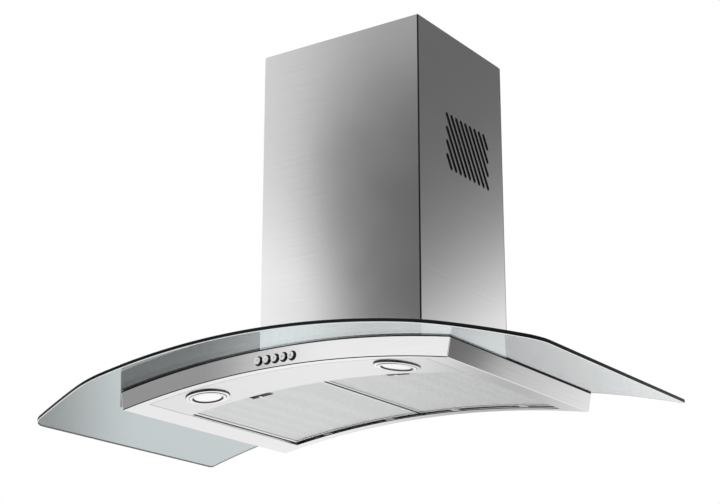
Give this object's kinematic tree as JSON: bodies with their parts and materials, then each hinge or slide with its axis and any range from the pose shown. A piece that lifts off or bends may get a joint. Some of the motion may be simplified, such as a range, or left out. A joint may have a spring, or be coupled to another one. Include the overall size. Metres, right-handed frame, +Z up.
{
  "type": "curved glass range hood",
  "caption": "Wall range hood with an arched glass canopy over a slim steel body, grease filters, lamps, push buttons, a blower and a telescopic chimney.",
  "frame": {"origin": "middle of the four wall fixing holes, on the face of the wall", "axes": "+Z up, +Y into the wall, +X to the right of someone who faces the hood; the glass lies below the origin and the chimney rises above it"},
  "size_m": [0.9, 0.495, 0.6146],
  "materials": {
    "steel": "fine satin grain",
    "zinc_steel": "zinc coated",
    "black_paint": "matt powder coat",
    "clear_glass": "clear, polished edge",
    "black_rubber": "matt",
    "bolts": "zinc coated",
    "button_metal": "satin face",
    "black_plastic": "fine texture",
    "grey_plastic": "smooth",
    "fan_plastic": "smooth",
    "motor_paint": "satin",
    "shaft_steel": "ground",
    "capacitor_plastic": "smooth",
    "bezel_chrome": "polished",
    "lens_glass": "frosted",
    "reflector": "bright",
    "bulb_glass": "clear",
    "filter_metal": "satin",
    "mesh_metal": "expanded mesh",
    "latch_tray": "smooth",
    "latch_metal": "polished"
  },
  "bodies": {
    "hood": {"body_shell": "steel", "light_panel": "steel", "chimney_lower": "steel", "suction_box": "black_paint", "top_plate": "zinc_steel", "rear_plate": "zinc_steel", "motor_bracket": "zinc_steel", "inlet_ring_left": "zinc_steel", "inlet_ring_right": "zinc_steel", "glass_canopy": "clear_glass", "glass_gasket": "black_rubber", "throat_seal": "black_rubber", "glass_bushes": "black_rubber", "clamp_screws": "bolts", "clamp_nuts": "bolts", "switch_block": "black_plastic", "terminal_box": "black_plastic", "cable_gland": "black_plastic", "scroll_band": "black_plastic", "scroll_cheek_left": "black_plastic", "scroll_cheek_right": "black_plastic", "lamp_transformer": "black_plastic", "duct_adapter": "grey_plastic", "duct_collar": "grey_plastic", "motor": "motor_paint", "flap_pin": "shaft_steel", "motor_capacitor": "capacitor_plastic", "lamp_bezel_left": "bezel_chrome", "lamp_bezel_right": "bezel_chrome", "lamp_lens_left": "lens_glass", "lamp_lens_right": "lens_glass", "lamp_reflector_left": "reflector", "lamp_reflector_right": "reflector", "lamp_bulb_left": "bulb_glass", "lamp_bulb_right": "bulb_glass"},
    "button_1": {"button_1": "button_metal"},
    "button_2": {"button_2": "button_metal"},
    "button_3": {"button_3": "button_metal"},
    "button_4": {"button_4": "button_metal"},
    "button_5": {"button_5": "button_metal"},
    "filter_left": {"filter_frame_left": "filter_metal", "filter_mesh_left": "mesh_metal", "latch_case_left": "latch_tray"},
    "latch_left": {"filter_latch_left": "latch_metal"},
    "filter_right": {"filter_frame_right": "filter_metal", "filter_mesh_right": "mesh_metal", "latch_case_right": "latch_tray"},
    "latch_right": {"filter_latch_right": "latch_metal"},
    "fan": {"fan_blades": "fan_plastic", "fan_disc": "fan_plastic", "fan_ring_left": "fan_plastic", "fan_ring_right": "fan_plastic", "motor_shaft": "shaft_steel"},
    "flap_front": {"damper_flap_front": "grey_plastic"},
    "flap_rear": {"damper_flap_rear": "grey_plastic"},
    "chimney_extension": {"chimney_upper": "steel", "chimney_bracket": "zinc_steel"}
  },
  "joints": [
    {"name": "press_button_1", "type": "slide", "parent": "hood", "child": "button_1", "axis": [0, 1, 0], "range_m": [0, 0.003], "stiffness_N_per_m": 300, "springref_m": -0.003},
    {"name": "press_button_2", "type": "slide", "parent": "hood", "child": "button_2", "axis": [0, 1, 0], "range_m": [0, 0.003], "stiffness_N_per_m": 300, "springref_m": -0.003},
    {"name": "press_button_3", "type": "slide", "parent": "hood", "child": "button_3", "axis": [0, 1, 0], "range_m": [0, 0.003], "stiffness_N_per_m": 300, "springref_m": -0.003},
    {"name": "press_button_4", "type": "slide", "parent": "hood", "child": "button_4", "axis": [0, 1, 0], "range_m": [0, 0.003], "stiffness_N_per_m": 300, "springref_m": -0.003},
    {"name": "press_button_5", "type": "slide", "parent": "hood", "child": "button_5", "axis": [0, 1, 0], "range_m": [0, 0.003], "stiffness_N_per_m": 300, "springref_m": -0.003},
    {"name": "drop_filter_left", "type": "hinge", "parent": "hood", "child": "filter_left", "pos_m": [0, -0.0185, -0.1865], "axis": [1, 0, 0], "range_deg": [0, 60]},
    {"name": "slide_latch_left", "type": "slide", "parent": "filter_left", "child": "latch_left", "axis": [0, 1, 0], "range_m": [-0.005, 0]},
    {"name": "drop_filter_right", "type": "hinge", "parent": "hood", "child": "filter_right", "pos_m": [0, -0.0185, -0.1865], "axis": [1, 0, 0], "range_deg": [0, 60]},
    {"name": "slide_latch_right", "type": "slide", "parent": "filter_right", "child": "latch_right", "axis": [0, 1, 0], "range_m": [-0.005, 0]},
    {"name": "spin_fan", "type": "hinge", "parent": "hood", "child": "fan", "pos_m": [0, -0.101, -0.04], "axis": [1, 0, 0], "continuous": true},
    {"name": "swing_flap_front", "type": "hinge", "parent": "hood", "child": "flap_front", "pos_m": [0, -0.125, 0.126], "axis": [-1, 0, 0], "range_deg": [0, 80]},
    {"name": "swing_flap_rear", "type": "hinge", "parent": "hood", "child": "flap_rear", "pos_m": [0, -0.125, 0.126], "axis": [1, 0, 0], "range_deg": [0, 80]},
    {"name": "raise_chimney", "type": "slide", "parent": "hood", "child": "chimney_extension", "axis": [0, 0, 1], "range_m": [0, 0.3]}
  ]
}
